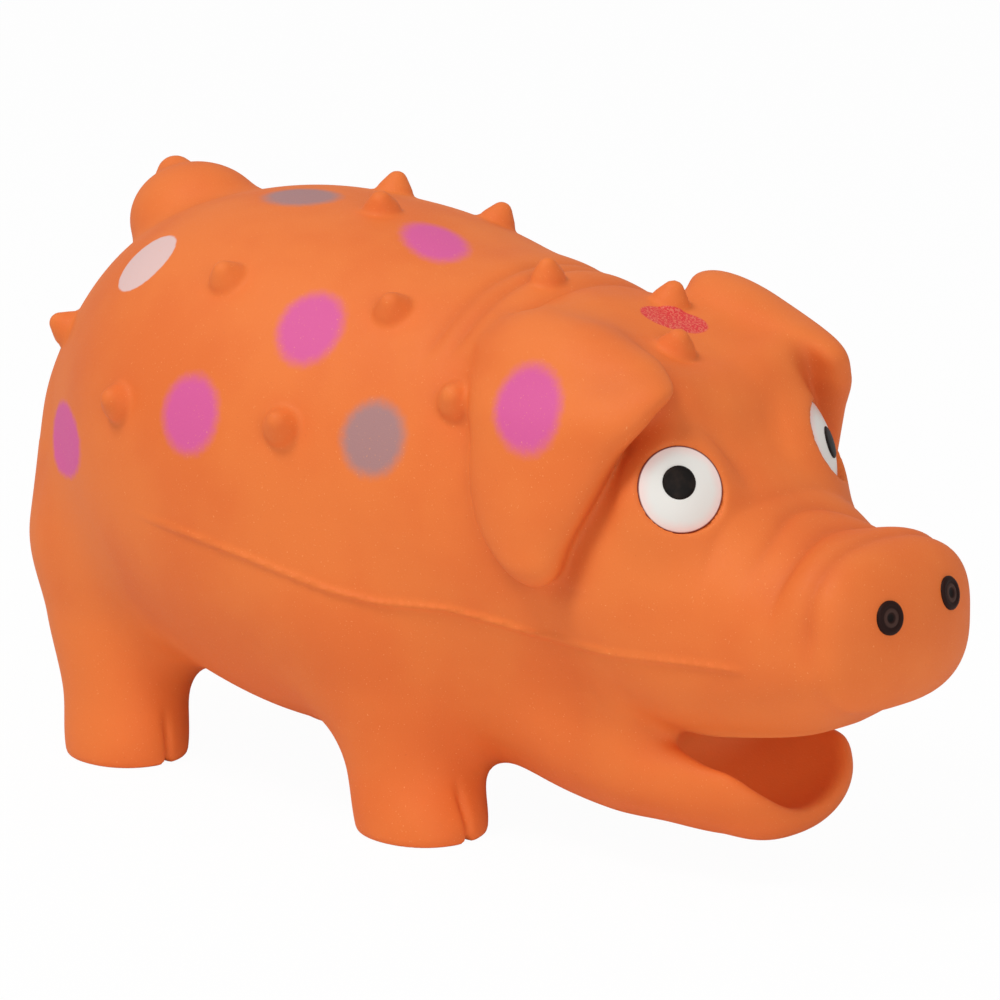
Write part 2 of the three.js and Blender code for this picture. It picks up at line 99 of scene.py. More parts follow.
# Legs and ears: [z, x, y, half length, half width, squareness], the legs as in the CAD. The ears are
# measured from their centre, along axes that are turned a little.
FRONT_LEG_STATIONS = [
    [-9, 9, 28.6, 11, 10.2, 2.15],
    [2, 8.8, 28.5, 13.7, 12.8, 2.15],
    [14, 4.4, 27.3, 13.2, 12.7, 2.15],
    [30, 0, 25.8, 17.2, 16, 2.15],
    [50, -7, 24, 22, 20.5, 2.15],
    [66, -7, 22, 0, 0, 2],
]
REAR_LEG_STATIONS = [
    [-9, -78, 30.5, 11, 10, 2.15],
    [2, -78.3, 30.3, 13.5, 12.5, 2.15],
    [14, -80, 28.7, 13.8, 12.9, 2.15],
    [30, -82.5, 26.5, 17, 15.8, 2.15],
    [50, -85.6, 24, 19, 18, 2.15],
    [66, -85.6, 22, 0, 0, 2],
]
EAR_CENTRE = (45, 33)
EAR_TURN = -7.3  # degrees
LEFT_EAR_STATIONS = [
    [59.5, 4.5, 5.7, 0, 0, 2],
    [62.5, 4.2, 5.7, 6.5, 5, 2.1],
    [68, 3.6, 5.2, 11.5, 6, 2.2],
    [76, 3, 4.2, 14.7, 6.5, 2.3],
    [86, 4.2, 1.8, 17.8, 7, 2.4],
    [94, 5.8, -0.8, 20.5, 7.2, 2.5],
    [101, 5, -3.3, 20, 7.5, 2.3],
    [108.5, -1.4, -6.3, 10.3, 7, 2],
    [112.3, -5, -7.3, 0, 0, 2],
]
# The right ear lies flatter, with its top level with the forehead.
RIGHT_EAR_STATIONS = [
    [59.5, 4.5, 5.7, 0, 0, 2],
    [62.5, 3.7, 5.7, 6, 5, 2.1],
    [68, 2, 5.2, 9.9, 6, 2.2],
    [76, 2.1, 4.2, 13.8, 6.5, 2.3],
    [86, 3.5, 1.7, 17.1, 7, 2.4],
    [94, 5.6, -0.8, 20.3, 7.2, 2.5],
    [99, 6.2, -5, 21, 7.6, 2.5],
    [103, 3.5, -8, 18.5, 7.6, 2.2],
    [107.5, 1.5, -9.5, 0, 0, 2],
]

# How widely each form flows into the next
NECK_BLEND = 14
LIP_BLEND = 2
LIP_RUN = (56, 72)  # where, along x, the neck's blend narrows to the lip's
MOUTH_BLEND = 5.5
PALATE_BLEND = 3
LEG_BLEND = 11
EAR_BLEND = 1.6
EAR_ROOT_BLEND = 7.6  # at the top and the back of an ear
TAIL_BLEND = 4
TAIL_TIP_BLEND = 1.5
SOLE_BLEND = 1.5

# The webs that fill the valleys between the ears and the forehead. Each has a rear and a front end:
# x, then how far out and how high its inner and its outer edge lie.
LEFT_WEB = ((40, (6, 98), (21, 98)), (60, (6, 90.5), (24, 97.5)))
RIGHT_WEB = ((37, (6, 100), (22, 101.5)), (60, (6, 90.5), (24, 97.5)))
WEB_RADIUS = 7
WEB_BLEND = 9

# Cones: [x, degrees round the body from the pig's left, how far it leans forwards, outwards and up].
# The paired ones stand on both sides.
CONE = {"foot": 4.1, "tip": 2.3, "height": 4.8, "sunk": 0.6, "blend": 1.1}
CONE_LEAN = (0.4, 0.65, 0.65)  # the direction of the lean on the pig's left
BACK_CONES = [
    [-43, 74, 0],
    [-25.3, 93.6, 0.5],
    [-18, 67, 0],
    [2.4, 126.5, 0.5],
    [2.4, 40, 0.3],
    [22.5, 98, 0.2],
    [40.6, 76, 0],
    [55.3, 97, 0.3],
]
PAIRED_CONES = [
    [-96, 144, 0.3],
    [-54.3, 167, 0.4],
    [-36.5, 131.8, 0.4],
    [-10.5, 161.8, 0.6],
    [25, 149, 0.6],
]
HEAD_CONES_FROM = 24  # x from which a cone stands on the head

# Creases and ridges in the skin. Across the snout: x on top, x at the sides, depth, how low it reaches.
SNOUT_CREASES = [
    (80.9, 80.6, 0.8, 63),
    (84.8, 88.8, 1.4, 66),
    (92.8, 95.8, 1.5, 60),
    (103.2, 104.2, 1.4, 52),
]
SNOUT_CREASE_WIDTH = 2
# Over the neck: x, depth, how far out it reaches.
NECK_CREASES = [(15.1, 1.2, 37), (19.8, 1.3, 35), (28.5, 1.2, 25)]
NECK_CREASE_WIDTH = 1.9
EAR_CREASE = {"depth": 1.5, "out": 0.8, "width": 2.2}
CLEFT = {"depth": 1.0, "width": 0.9, "height": 10}
RIDGE = {"height": 0.75, "width": 0.6}
# The line that the mould leaves, as points on the pig's left
PARTING_LINE = [
    (-52, 54, 62),
    (-31, 53.5, 59.6),
    (-17, 51.5, 57),
    (2, 47.6, 52.7),
    (13, 44, 51.2),
    (27, 38.7, 51.2),
    (43.5, 33.5, 48.6),
    (65, 31.7, 47.5),
    (93, 24.7, 47.3),
]

# Eyes and nostrils: where each is seated. A nostril is then moved onto the skin.
EYE_SEATS = {"right": (73.4, -23.6, 79.9), "left": (71.1, 22, 82)}
EYE_FACING = (0.8, 0.495, 0.33)
EYE_BOSS = {"radius": 10.6, "deep": 6, "edge": 3.8, "blend": 8}
EYE_RECESS = {"radius": 8.55, "deep": 10, "edge": 0.2, "blend": 0.6}
NOSTRIL_SEATS = {"right": (113.4, -9.4, 58.9), "left": (113.1, 9.2, 60.4)}
EYE = {"radius": 8.5, "sunk": 1.4, "rim": 0.25, "dome": 1.6}
PUPIL = {"radius": 3.3, "sunk": 0.5, "edge": 0.4, "rim": 0.55, "dome": 0.25}
PUPIL_SHIFTS = {"right": (-0.5, 1.2), "left": (-0.3, -0.4)}
NOSTRIL_RADIUS = 3.3
# Share of the radius and height, from the rim to the hole
NOSTRIL_RINGS = [
    (1, 0.1),
    (0.9, 0.45),
    (0.72, 0.5),
    (0.6, 0.25),
    (0.5, 0.45),
    (0.36, 0.45),
    (0.26, 0.2),
]
NOSTRIL_SUNK = 1.5
NOSTRIL_HOLE = 0.15

# Meshes: the box that every form lies in, how many steps the first pass takes at once, and the steps
GRID = ((-119, -62, -3), (119, 62, 134))
COARSE = 4
OUTER_STEP = 0.8
INNER_STEP = 2.4
FIBRE_STEP = 2
TURN_SIDES = 72

# Inner pieces
WALL = 2
POCKET = {"x": -30, "radius": 21, "top": 70}
PATCH = {"radius": 20.5, "proud": 0.7, "sunk": 0.6, "bevel": 0.8, "under": 13, "rings": 12}
FIBRE = {"gap": 1.4, "lump": 0.5, "tuft": 3.1, "edge": 2}
BELLOWS = {
    "bottom": 24.3,
    "start": 31,
    "end": 56,
    "top": 62,
    "collar": 15.9,
    "neck": 15.4,
    "low": 15.1,
    "high": 17.4,
    "wall": 0.7,
    "folds": 5,
    "pressed": 0.68,
}


# Fields: functions of points, which give signed distances in millimetres, negative inside
def join(a, b, blend):
    """The union of two fields, flowing into each other over the blend."""
    share = np.clip(0.5 + 0.5 * (b - a) / blend, 0, 1)
    return b + (a - b) * share - blend * share * (1 - share)


def cut(a, b, blend):
    """Field a less field b, with a rounded edge."""
    return -join(-a, b, blend)


def ease(value, start, end):
    """A smooth step from 0 where the value is at the start to 1 at the end. It may run backwards."""
    t = np.clip((value - start) / (end - start), 0, 1)
    return t * t * (3 - 2 * t)


def ellipsoid(p, shape):
    centre, radii = (np.array(v, float) for v in shape)
    q = (p - centre) / radii
    far = np.linalg.norm(q, axis=-1)
    return far * (far - 1) / np.maximum(np.linalg.norm(q / radii, axis=-1), 1e-9)


def cubic(along, columns, u):
    """Columns of a table at u, by a cubic with three-point slopes, straight beyond the ends."""
    gap = np.diff(along)[:, None]
    rise = np.diff(columns, axis=0) / gap
    slope = np.empty_like(columns)
    slope[0] = 1.5 * rise[0] - 0.5 * rise[1]
    slope[-1] = 1.5 * rise[-1] - 0.5 * rise[-2]
    slope[1:-1] = (gap[:-1] * rise[1:] + gap[1:] * rise[:-1]) / (gap[:-1] + gap[1:])
    i = np.clip(np.searchsorted(along, u) - 1, 0, len(along) - 2)
    span = gap[i]
    t = np.clip((u - along[i])[:, None] / span, 0, 1)
    t2, t3 = t * t, t * t * t
    value = (2 * t3 - 3 * t2 + 1) * columns[i] + (t3 - 2 * t2 + t) * span * slope[i]
    value += (3 * t2 - 2 * t3) * columns[i + 1] + (t3 - t2) * span * slope[i + 1]
    before = np.minimum(u - along[0], 0)[:, None]
    after = np.maximum(u - along[-1], 0)[:, None]
    return value + before * slope[0] + after * slope[-1]


class Loft:
    """A form swept along one axis through elliptic stations. Its sections' area is interpolated, so
    that both ends come out round. Rows are [along, centre a, centre b, half a, half b, squareness]."""

    SPACING = 0.25
    MARGIN = 60

    def __init__(self, rows):
        rows = np.array(rows, float)
        half = rows[:, 3:5].copy()
        half[0], half[-1] = half[1], half[-2]
        area = rows[:, 3] * rows[:, 4]
        shape = np.log(half[:, 0] / half[:, 1])
        columns = np.column_stack([rows[:, 1:3], area, shape, rows[:, 5]])
        self.start = rows[0, 0] - self.MARGIN
        u = np.arange(self.start, rows[-1, 0] + self.MARGIN, self.SPACING)
        self.table = cubic(rows[:, 0], columns, u)
        for column in (0, 1, 3, 4):
            self.table[u < rows[0, 0], column] = columns[0, column]
            self.table[u > rows[-1, 0], column] = columns[-1, column]
        self.slopes = np.gradient(self.table, self.SPACING, axis=0)

    def at(self, u):
        k = np.clip((u - self.start) / self.SPACING, 0, len(self.table) - 1.001)
        i = k.astype(int)
        f = (k - i)[:, None]
        table, slopes = self.table, self.slopes
        return table[i] * (1 - f) + table[i + 1] * f, slopes[i] * (1 - f) + slopes[i + 1] * f

    def field(self, u, a, b):
        here, slope = self.at(u)
        ca, cb, area, shape, n = here.T
        stretch = np.exp(shape / 2)
        da, db = a - ca, b - cb
        qa = np.maximum(np.abs(da) / stretch, 1e-6)
        qb = np.maximum(np.abs(db) * stretch, 1e-6)
        reach = (qa**n + qb**n) ** (1 / n)
        level = reach**2 - area
        ga = 2 * reach * (qa / reach) ** (n - 1)
        gb = 2 * reach * (qb / reach) ** (n - 1)
        gy = ga / stretch
        gz = gb * stretch
        gx = -slope[:, 2] - gy * np.sign(da) * slope[:, 0] - gz * np.sign(db) * slope[:, 1]
        gx += (gb * qb - ga * qa) * 0.5 * slope[:, 3]
        grade = np.maximum(np.sqrt(gx**2 + gy**2 + gz**2), 1e-3)
        outside = 2 * level / (grade + np.sqrt(grade**2 + 2 * np.maximum(level, 0)))
        inside = np.maximum(level / grade, -np.sqrt(np.maximum(area, 1e-6)))
        return np.where(level > 0, outside, inside)

    def point(self, u, degrees):
        """The point of the section at u that lies at an angle, measured from +Y upwards."""
        ca, cb, area, shape, n = self.at(np.array([float(u)]))[0][0]
        angle = np.radians(degrees)
        c, s = np.cos(angle), np.sin(angle)
        mean, stretch = np.sqrt(area), np.exp(shape / 2)
        a = ca + mean * stretch * np.sign(c) * abs(c) ** (2 / n)
        b = cb + mean / stretch * np.sign(s) * abs(s) ** (2 / n)
        return np.array([u, a, b])


def along_pig(stations):
    rows = [[x, 0, (low + high) / 2, half, (high - low) / 2, n] for x, half, low, high, n in stations]
    for row in (rows[0], rows[-1]):
        row[4] = 0
    return Loft(rows)


trunk = along_pig(TRUNK_STATIONS)
head = along_pig(HEAD_STATIONS)
jaw = along_pig(JAW_STATIONS)
front_leg = Loft(FRONT_LEG_STATIONS)
rear_leg = Loft(REAR_LEG_STATIONS)
left_ear = Loft(LEFT_EAR_STATIONS)
right_ear = Loft(RIGHT_EAR_STATIONS)


def core(p):
    """The skin without its ears, tail, cones and creases."""
    x, y, z = p.T
    side = np.abs(y)
    snout = cut(head.field(x, y, z), ellipsoid(p, PALATE), PALATE_BLEND)
    d = join(trunk.field(x, y, z), snout, NECK_BLEND)
    scoop = cut(jaw.field(x, y, z), ellipsoid(p, MOUTH), MOUTH_BLEND)
    d = join(d, scoop, NECK_BLEND + (LIP_BLEND - NECK_BLEND) * ease(x, *LIP_RUN))
    for leg in (front_leg, rear_leg):
        d = join(d, leg.field(z, x, side), LEG_BLEND)
    return cut(d, z, SOLE_BLEND)


def gradient(field, p, reach=0.2):
    steps = np.eye(3) * reach
    return np.column_stack([(field(p + s) - field(p - s)) / (2 * reach) for s in steps])


def settle(field, p, rounds=3):
    """Points moved onto the surface of a field, and its outward normals there."""
    p = np.atleast_2d(np.array(p, float)).copy()
    for _ in range(rounds):
        slope = gradient(field, p)
        p -= slope * (field(p) / np.maximum((slope**2).sum(1), 1e-6))[:, None]
    slope = gradient(field, p)
    return p, slope / np.linalg.norm(slope, axis=1)[:, None]


def ear_field(p):
    turn = np.radians(EAR_TURN)
    dx, dy = p[:, 0] - EAR_CENTRE[0], np.abs(p[:, 1]) - EAR_CENTRE[1]
    fore = dx * np.cos(turn) + dy * np.sin(turn)
    out = dy * np.cos(turn) - dx * np.sin(turn)
    d = np.empty(len(p))
    for ear, own in ((left_ear, p[:, 1] >= 0), (right_ear, p[:, 1] < 0)):
        d[own] = ear.field(p[own, 2], fore[own], out[own])
    return d


def web_field(p, web, side):
    """The web between an ear and the forehead, a thick sheet with a round edge. Side is 1 or -1."""
    (rear_x, *rear), (front_x, *front) = web
    x, y, z = p.T
    t = np.clip((x - rear_x) / (front_x - rear_x), 0, 1)[:, None]
    inner, outer = (np.array(a) + t * (np.array(b) - np.array(a)) for a, b in zip(rear, front))
    run = outer - inner
    here = np.column_stack([side * y, z]) - inner
    share = np.clip((here * run).sum(1) / (run * run).sum(1), 0, 1)
    away = np.linalg.norm(here - share[:, None] * run, axis=1)
    return np.hypot(away, x - np.clip(x, rear_x, front_x)) - WEB_RADIUS


def cone_field(p, base, axis):
    """The tight wrap of a large ball sunk in the skin and a small one above it."""
    foot, tip = CONE["foot"], CONE["tip"]
    length = CONE["height"] - tip + CONE["sunk"]
    q = p - base + axis * CONE["sunk"]
    high = q @ axis
    out = np.linalg.norm(q - high[:, None] * axis, axis=1)
    lean = (foot - tip) / length
    flank = np.sqrt(1 - lean**2)
    at = high * flank - out * lean
    side = out * flank + high * lean - foot
    top = np.hypot(out, high - length) - tip
    return np.where(at < 0, np.hypot(out, high) - foot, np.where(at > flank * length, top, side))


def cone_seats():
    """Where each cone stands on the skin, and which way it points."""
    spots = [*BACK_CONES, *PAIRED_CONES]
    spots += [[x, 180 - angle, lean] for x, angle, lean in PAIRED_CONES]
    starts = [(head if x > HEAD_CONES_FROM else trunk).point(x, angle) for x, angle, _ in spots]
    seats, axes = settle(plain_skin, starts)
    for axis, (_, angle, lean) in zip(axes, spots):
        axis += lean * (np.array(CONE_LEAN) * (1, 1 if angle < 90 else -1, 1) - axis)
        axis /= np.linalg.norm(axis)
    return list(zip(seats, axes))


def eye_seat(side):
    """The middle of an eye's flat seat and the way it faces."""
    facing = np.array(EYE_FACING) * (1, 1 if side == "left" else -1, 1)
    return np.array(EYE_SEATS[side], float), facing / np.linalg.norm(facing)


def drum_field(p, middle, facing, drum):
    """A round drum with a soft edge that ends at the middle and lies behind it."""
    radius, deep, edge = drum["radius"], drum["deep"], drum["edge"]
    along = (p - middle) @ facing
    out = np.linalg.norm(p - middle - along[:, None] * facing, axis=1) - radius + edge
    high = np.abs(along + deep / 2) - deep / 2 + edge
    outside = np.hypot(np.maximum(out, 0), np.maximum(high, 0))
    return outside + np.minimum(np.maximum(out, high), 0) - edge


# Creases: each adds a little to the field, which sinks the skin
def dip(distance, width):
    return np.exp(-((distance / width) ** 2))


def fold(distance, width):
    """A pinched valley between two rounded rolls."""
    return np.exp(-(np.sqrt(distance**2 + 0.1) / width))


def snout_creases(p):
    """Folds across the snout, mostly a little further back on top than at the sides."""
    x, y, z = p.T
    bend = ease(np.abs(y), 0, 20)
    total = np.zeros(len(p))
    for top, flank, depth, low in SNOUT_CREASES:
        away = x - top - (flank - top) * bend
        total += depth * fold(away, SNOUT_CREASE_WIDTH) * ease(z, low - 6, low + 6)
    return total


def neck_creases(p):
    x, y, z = p.T
    side = np.abs(y)
    total = np.zeros(len(p))
    for at, depth, out in NECK_CREASES:
        total += depth * fold(x - at, NECK_CREASE_WIDTH) * ease(side, out, out - 9)
    return total * ease(z, 90, 102)


def toe_clefts(p):
    x, y, z = p.T
    side = np.abs(y)
    low = ease(z, CLEFT["height"] + 4, CLEFT["height"] - 4)
    total = np.zeros(len(p))
    for stations in (FRONT_LEG_STATIONS, REAR_LEG_STATIONS):
        _, foot_x, foot_y, half = stations[1][:4]
        in_front = ease(x - foot_x - half * 0.45, 0, 4) * (x < foot_x + half + 6)
        total += dip(side - foot_y, CLEFT["width"]) * in_front
    return CLEFT["depth"] * total * low


def parting_ridge(p):
    """The thin raised line that the mould leaves along each side."""
    x, y, z = p.T
    line = np.array(PARTING_LINE, float)
    height = np.interp(x, line[:, 0], line[:, 2])
    out = np.interp(x, line[:, 0], line[:, 1])
    first, last = line[0, 0], line[-1, 0]
    ends = ease(x, first, first + 20) * ease(x, last, last - 6)
    near = ease(np.abs(np.abs(y) - out), 6, 3)
    return -RIDGE["height"] * dip(z - height, RIDGE["width"]) * ends * near


def relief(p):
    return snout_creases(p) + neck_creases(p) + toe_clefts(p) + parting_ridge(p)


def under_ears(p):
    """The bare head and body with the webs and the bosses of the eyes."""
    d = join(core(p), web_field(p, LEFT_WEB, 1), WEB_BLEND)
    d = join(d, web_field(p, RIGHT_WEB, -1), WEB_BLEND)
    for side in EYE_SEATS:
        middle, facing = eye_seat(side)
        near = np.linalg.norm(p - middle, axis=1) < 24
        if near.any():
            d[near] = join(d[near], drum_field(p[near], middle, facing, EYE_BOSS), EYE_BOSS["blend"])
    return d


def ear_crease(p, under, flap):
    """The deep fold under the front edge of each ear, where the head and the flap meet."""
    front = ease(p[:, 0], 47, 55) * ease(p[:, 2], 104, 96)
    near = dip(flap - EAR_CREASE["out"], EAR_CREASE["width"]) * dip(under, EAR_CREASE["width"])
    return EAR_CREASE["depth"] * near * front


def plain_skin(p):
    """The skin with its ears and tail, still without cones, eye seats and creases."""
    x, y, z = p.T
    under, flap = under_ears(p), ear_field(p)
    root = ease(z, 84, 98) * ease(x, 62, 48) * np.where(y < 0, 1, ease(x, 30, 40))
    d = join(under, flap, EAR_BLEND + (EAR_ROOT_BLEND - EAR_BLEND) * root)
    d += ear_crease(p, under, flap)
    d = join(d, ellipsoid(p, TAIL), TAIL_BLEND)
    tip_centre, tip_radius = TAIL_TIP
    return join(d, np.linalg.norm(p - np.array(tip_centre), axis=1) - tip_radius, TAIL_TIP_BLEND)


def crease_shade(p):
    """How deep in a fold each point of the skin lies, from 0 to 1, for the painted shade in the folds
    and under the front edges of the ears.
    """
    folds = np.clip((snout_creases(p) + neck_creases(p)) / 1.5, 0, 1) ** 1.5
    beside_ears = ear_crease(p, under_ears(p), ear_field(p)) / 1.3
    return np.clip(0.8 * folds + beside_ears, 0, 1)


def painted_mouth_light(p):
    """How far inside the mouth each point of the skin lies, from 0 to 1, for the painted light that
    brightens the inside of the mouth.
    """
    return ease(ellipsoid(p, MOUTH), 2, -3) * ease(p[:, 2], 34, 29)


def make_skin_field():
    cones = cone_seats()
    eyes = [eye_seat(side) for side in EYE_SEATS]

    def skin(p):
        d = plain_skin(p)
        for middle, facing in eyes:
            near = np.linalg.norm(p - middle, axis=1) < 20
            if near.any():
                recess = drum_field(p[near], middle, -facing, EYE_RECESS)
                d[near] = cut(d[near], recess, EYE_RECESS["blend"])
        for base, axis in cones:
            near = np.linalg.norm(p - base, axis=1) < CONE["height"] + 5
            if near.any():
                d[near] = join(d[near], cone_field(p[near], base, axis), CONE["blend"])
        return d + relief(p)

    return skin


# Meshing
def grid_points(parts):
    mesh = np.meshgrid(*parts, indexing="ij")
    return np.stack([m.ravel() for m in mesh], 1), mesh[0].shape


def grid_values(field, axes, step):
    """A field on a grid, worked out on a coarse grid first, and finely only near the surface."""
    points, shape = grid_points([a[::COARSE] for a in axes])
    rough = field(points).reshape(shape)
    nearest = []
    for axis, last in zip(axes, np.array(shape) - 1):
        nearest.append(np.minimum((np.arange(len(axis)) + COARSE // 2) // COARSE, last))
    values = rough[np.ix_(*nearest)]
    band = np.abs(values) < step * COARSE * 1.5
    low = np.array([a[0] for a in axes])
    values[band] = field(low + step * np.argwhere(band))
    return values


def surface_cells(inside):
    """The cells that the surface crosses, and a grid with the number of each."""
    count = np.array(inside.shape)
    corners = np.zeros(count - 1, int)
    for i in np.ndindex(2, 2, 2):
        corners += inside[tuple(slice(k, n - 1 + k) for k, n in zip(i, count))]
    crossed = (corners > 0) & (corners < 8)
    cells = np.argwhere(crossed)
    number = np.full(crossed.shape, -1)
    number[crossed] = np.arange(len(cells))
    return cells, number


def directions(axis):
    """Grid steps along an axis and along the two others, in right-handed order."""
    return np.roll(np.eye(3, dtype=int), -axis, axis=0)


def cell_vertices(values, cells):
    """A point in each cell, in the middle of the places where the surface crosses its edges."""
    total = np.zeros((len(cells), 3))
    hits = np.zeros(len(cells))
    for axis in range(3):
        along, one, two = directions(axis)
        for u, v in np.ndindex(2, 2):
            start = u * one + v * two
            f0 = values[tuple((cells + start).T)]
            f1 = values[tuple((cells + start + along).T)]
            cross = (f0 < 0) != (f1 < 0)
            t = f0[cross] / (f0[cross] - f1[cross])
            total[cross] += start + t[:, None] * along
            hits[cross] += 1
    return cells + total / hits[:, None]


def edge_quads(inside, number, axis):
    """A quad round each grid edge along an axis that the surface crosses, facing outwards."""
    _, one, two = directions(axis)
    first = [slice(1, n - 1) for n in inside.shape]
    first[axis] = slice(0, inside.shape[axis] - 1)
    then = list(first)
    then[axis] = slice(1, inside.shape[axis])
    a, b = inside[tuple(first)], inside[tuple(then)]
    edges = np.argwhere(a != b)
    outward = a[tuple(edges.T)]
    edges = edges + np.array([part.start for part in first])
    ring = [edges - one - two, edges - two, edges, edges - one]
    quads = np.stack([number[tuple(e.T)] for e in ring], 1)
    quads[~outward] = quads[~outward][:, ::-1]
    return quads


def surface_net(field, step):
    """Vertices and quads of a field's surface: one vertex in each cell that the surface crosses."""
    low, high = np.array(GRID, float)
    count = np.ceil((high - low) / (step * COARSE)).astype(int) * COARSE + 1
    axes = [a + step * np.arange(n) for a, n in zip(low, count)]
    values = grid_values(field, axes, step)
    inside = values < 0
    cells, number = surface_cells(inside)
    quads = [edge_quads(inside, number, axis) for axis in range(3)]
    return low + step * cell_vertices(values, cells), np.concatenate(quads)


def make_mesh(name, points, faces, matrix=None):
    """An object from points in millimetres and faces, shaded smooth."""
    mesh = bpy.data.meshes.new(name)
    mesh.from_pydata((np.asarray(points) * MM).tolist(), [], list(faces))
    if matrix is not None:
        mesh.transform(matrix)
    mesh.polygons.foreach_set("use_smooth", [True] * len(mesh.polygons))
    mesh.validate()
    mesh.update()
    obj = bpy.data.objects.new(name, mesh)
    bpy.context.collection.objects.link(obj)
    return obj


def store(obj, name, values):
    """Keeps a number at each vertex, from 0 to 1, for the paint."""
    layer = obj.data.attributes.new(name, "FLOAT", "POINT")
    layer.data.foreach_set("value", list(values))


def finish_piece(obj, material, slot, *nodes):
    obj.data.materials.append(material)
    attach(obj, TOY)
    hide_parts(*nodes)
    return obj


# Materials
class Nodes:
    """A material's node tree, with short ways to add and join nodes."""

    def __init__(self, name):
        self.material = bpy.data.materials.new(name)
        self.material.use_nodes = True
        self.tree = self.material.node_tree
        self.shader = self.tree.nodes["Principled BSDF"]

    def add(self, kind, settings=None, **inputs):
        node = self.tree.nodes.new(kind)
        for key, value in (settings or {}).items():
            setattr(node, key, value)
        for key, value in inputs.items():
            self.set(node.inputs[key.replace("_", " ")], value)
        return node

    def set(self, socket, value):
        if isinstance(value, bpy.types.NodeSocket):
            self.tree.links.new(value, socket)
        else:
            socket.default_value = value

    def position(self):
        return self.add("ShaderNodeTexCoord").outputs["Object"]

    def stored(self, name):
        """A number that the mesh keeps at each vertex."""
        return self.add("ShaderNodeAttribute", {"attribute_name": name}).outputs["Fac"]

    def noise(self, scale, detail=2.0, place=None):
        place = place or self.position()
        node = self.add("ShaderNodeTexNoise", Vector=place, Scale=scale, Detail=detail)
        return node.outputs["Fac"]

    def ramp(self, value, low, high, start=0.0, end=1.0):
        node = self.add("ShaderNodeMapRange", {"interpolation_type": "SMOOTHSTEP"}, Value=value)
        self.set(node.inputs["From Min"], low)
        self.set(node.inputs["From Max"], high)
        self.set(node.inputs["To Min"], start)
        self.set(node.inputs["To Max"], end)
        return node.outputs["Result"]

    def math(self, kind, *values):
        node = self.add("ShaderNodeMath", {"operation": kind})
        for socket, value in zip(node.inputs, values):
            self.set(socket, value)
        return node.outputs[0]

    def mix(self, share, a, b):
        node = self.add("ShaderNodeMix", {"data_type": "RGBA"})
        self.set(node.inputs["Factor"], share)
        self.set(node.inputs["A"], a)
        self.set(node.inputs["B"], b)
        return node.outputs["Result"]

    def bump(self, height, distance, strength):
        node = self.add("ShaderNodeBump", Height=height, Distance=distance, Strength=strength)
        self.set(self.shader.inputs["Normal"], node.outputs["Normal"])


def colour(code):
    """A linear colour from an sRGB one written as hex digits."""
    parts = [int(code[i : i + 2], 16) / 255 for i in (0, 2, 4)]
    linear = [c / 12.92 if c <= 0.04045 else ((c + 0.055) / 1.055) ** 2.4 for c in parts]
    return (*linear, 1)


# Paints, as sRGB hex digits
MAGENTA = "dd5c9c"
MAUVE = "ad8180"
PALE = "e8c4bf"
RED = "e0363a"
RED_SPECKS = "f09a78"
LATEX = "ef7c36"
LATEX_DARK = "ea7330"
# Painted shade, which darkens the folds and the creases under the ears
FOLD_SHADE = "c4501f"
# Painted light, a lighter orange that brightens the inside of the mouth
MOUTH_PAINTED_LIGHT = "ff9a52"
FLECK = "ffb070"
PORE = "c9562a"
# Grains, as noise scales, from broad blotches to fine specks
BLOTCH, WOBBLE, BRUSH, PITS, SPECKS = 38, 700, 900, 1500, 2600

# Painted spots: [centre, size along the pig, size up the skin, degrees turned, colour, soft edge],
# sizes in millimetres
SPOTS = [
    [(-63.8, -35.5, 110), 15, 16, 0, PALE, 0.4],
    [(-46.4, -6.9, 122.5), 15.5, 17.5, 0, MAUVE, 3],
    [(-6.6, -7.9, 117.4), 13, 21, 0, MAGENTA, 2.6],
    [(-11.8, -38.7, 103), 14.5, 17, 0, MAGENTA, 2.6],
    [(-32.9, -52.3, 84.3), 15, 16.5, 0, MAGENTA, 2.6],
    [(-81.5, -44, 71), 26, 16, 0, MAGENTA, 2.6],
    [(10.1, -43, 84), 15, 15.5, 0, MAUVE, 2.8],
    [(47.5, -38.9, 94.8), 15.5, 19, 28, MAGENTA, 2.6],
    [(47.1, 4.5, 105.8), 14.5, 9.5, -42, RED, 0.5],
    [(-68, 34, 109), 15, 16, 0, MAGENTA, 2.6],
    [(-14, 39.5, 102), 15, 16.5, 0, MAUVE, 2.8],
    [(-36, 52.5, 83), 15, 16.5, 0, MAGENTA, 2.6],
    [(-84, 42, 71), 15, 16, 0, MAUVE, 2.8],
    [(9, 43.5, 83), 15, 16, 0, MAGENTA, 2.6],
    [(48.7, 39.1, 94.9), 16, 18.5, 0, MAGENTA, 2.6],
    [(-110, 3, 88), 15, 15, 0, MAGENTA, 2.6],
]
# How far each way through the skin a spot's paint reaches. The red one stops short of the cones.
SPOT_REACH = 9
RED_REACH = 2


def spot_axes(normal, degrees):
    """The directions along the pig and up the skin at a spot, turned about its normal."""
    side = Vector((0, 0, 1)).cross(normal)
    if side.length < 0.2:
        side = Vector((0, 1, 0))
    side = (Matrix.Rotation(np.radians(degrees), 3, normal) @ side).normalized()
    return side, normal.cross(side).normalized()


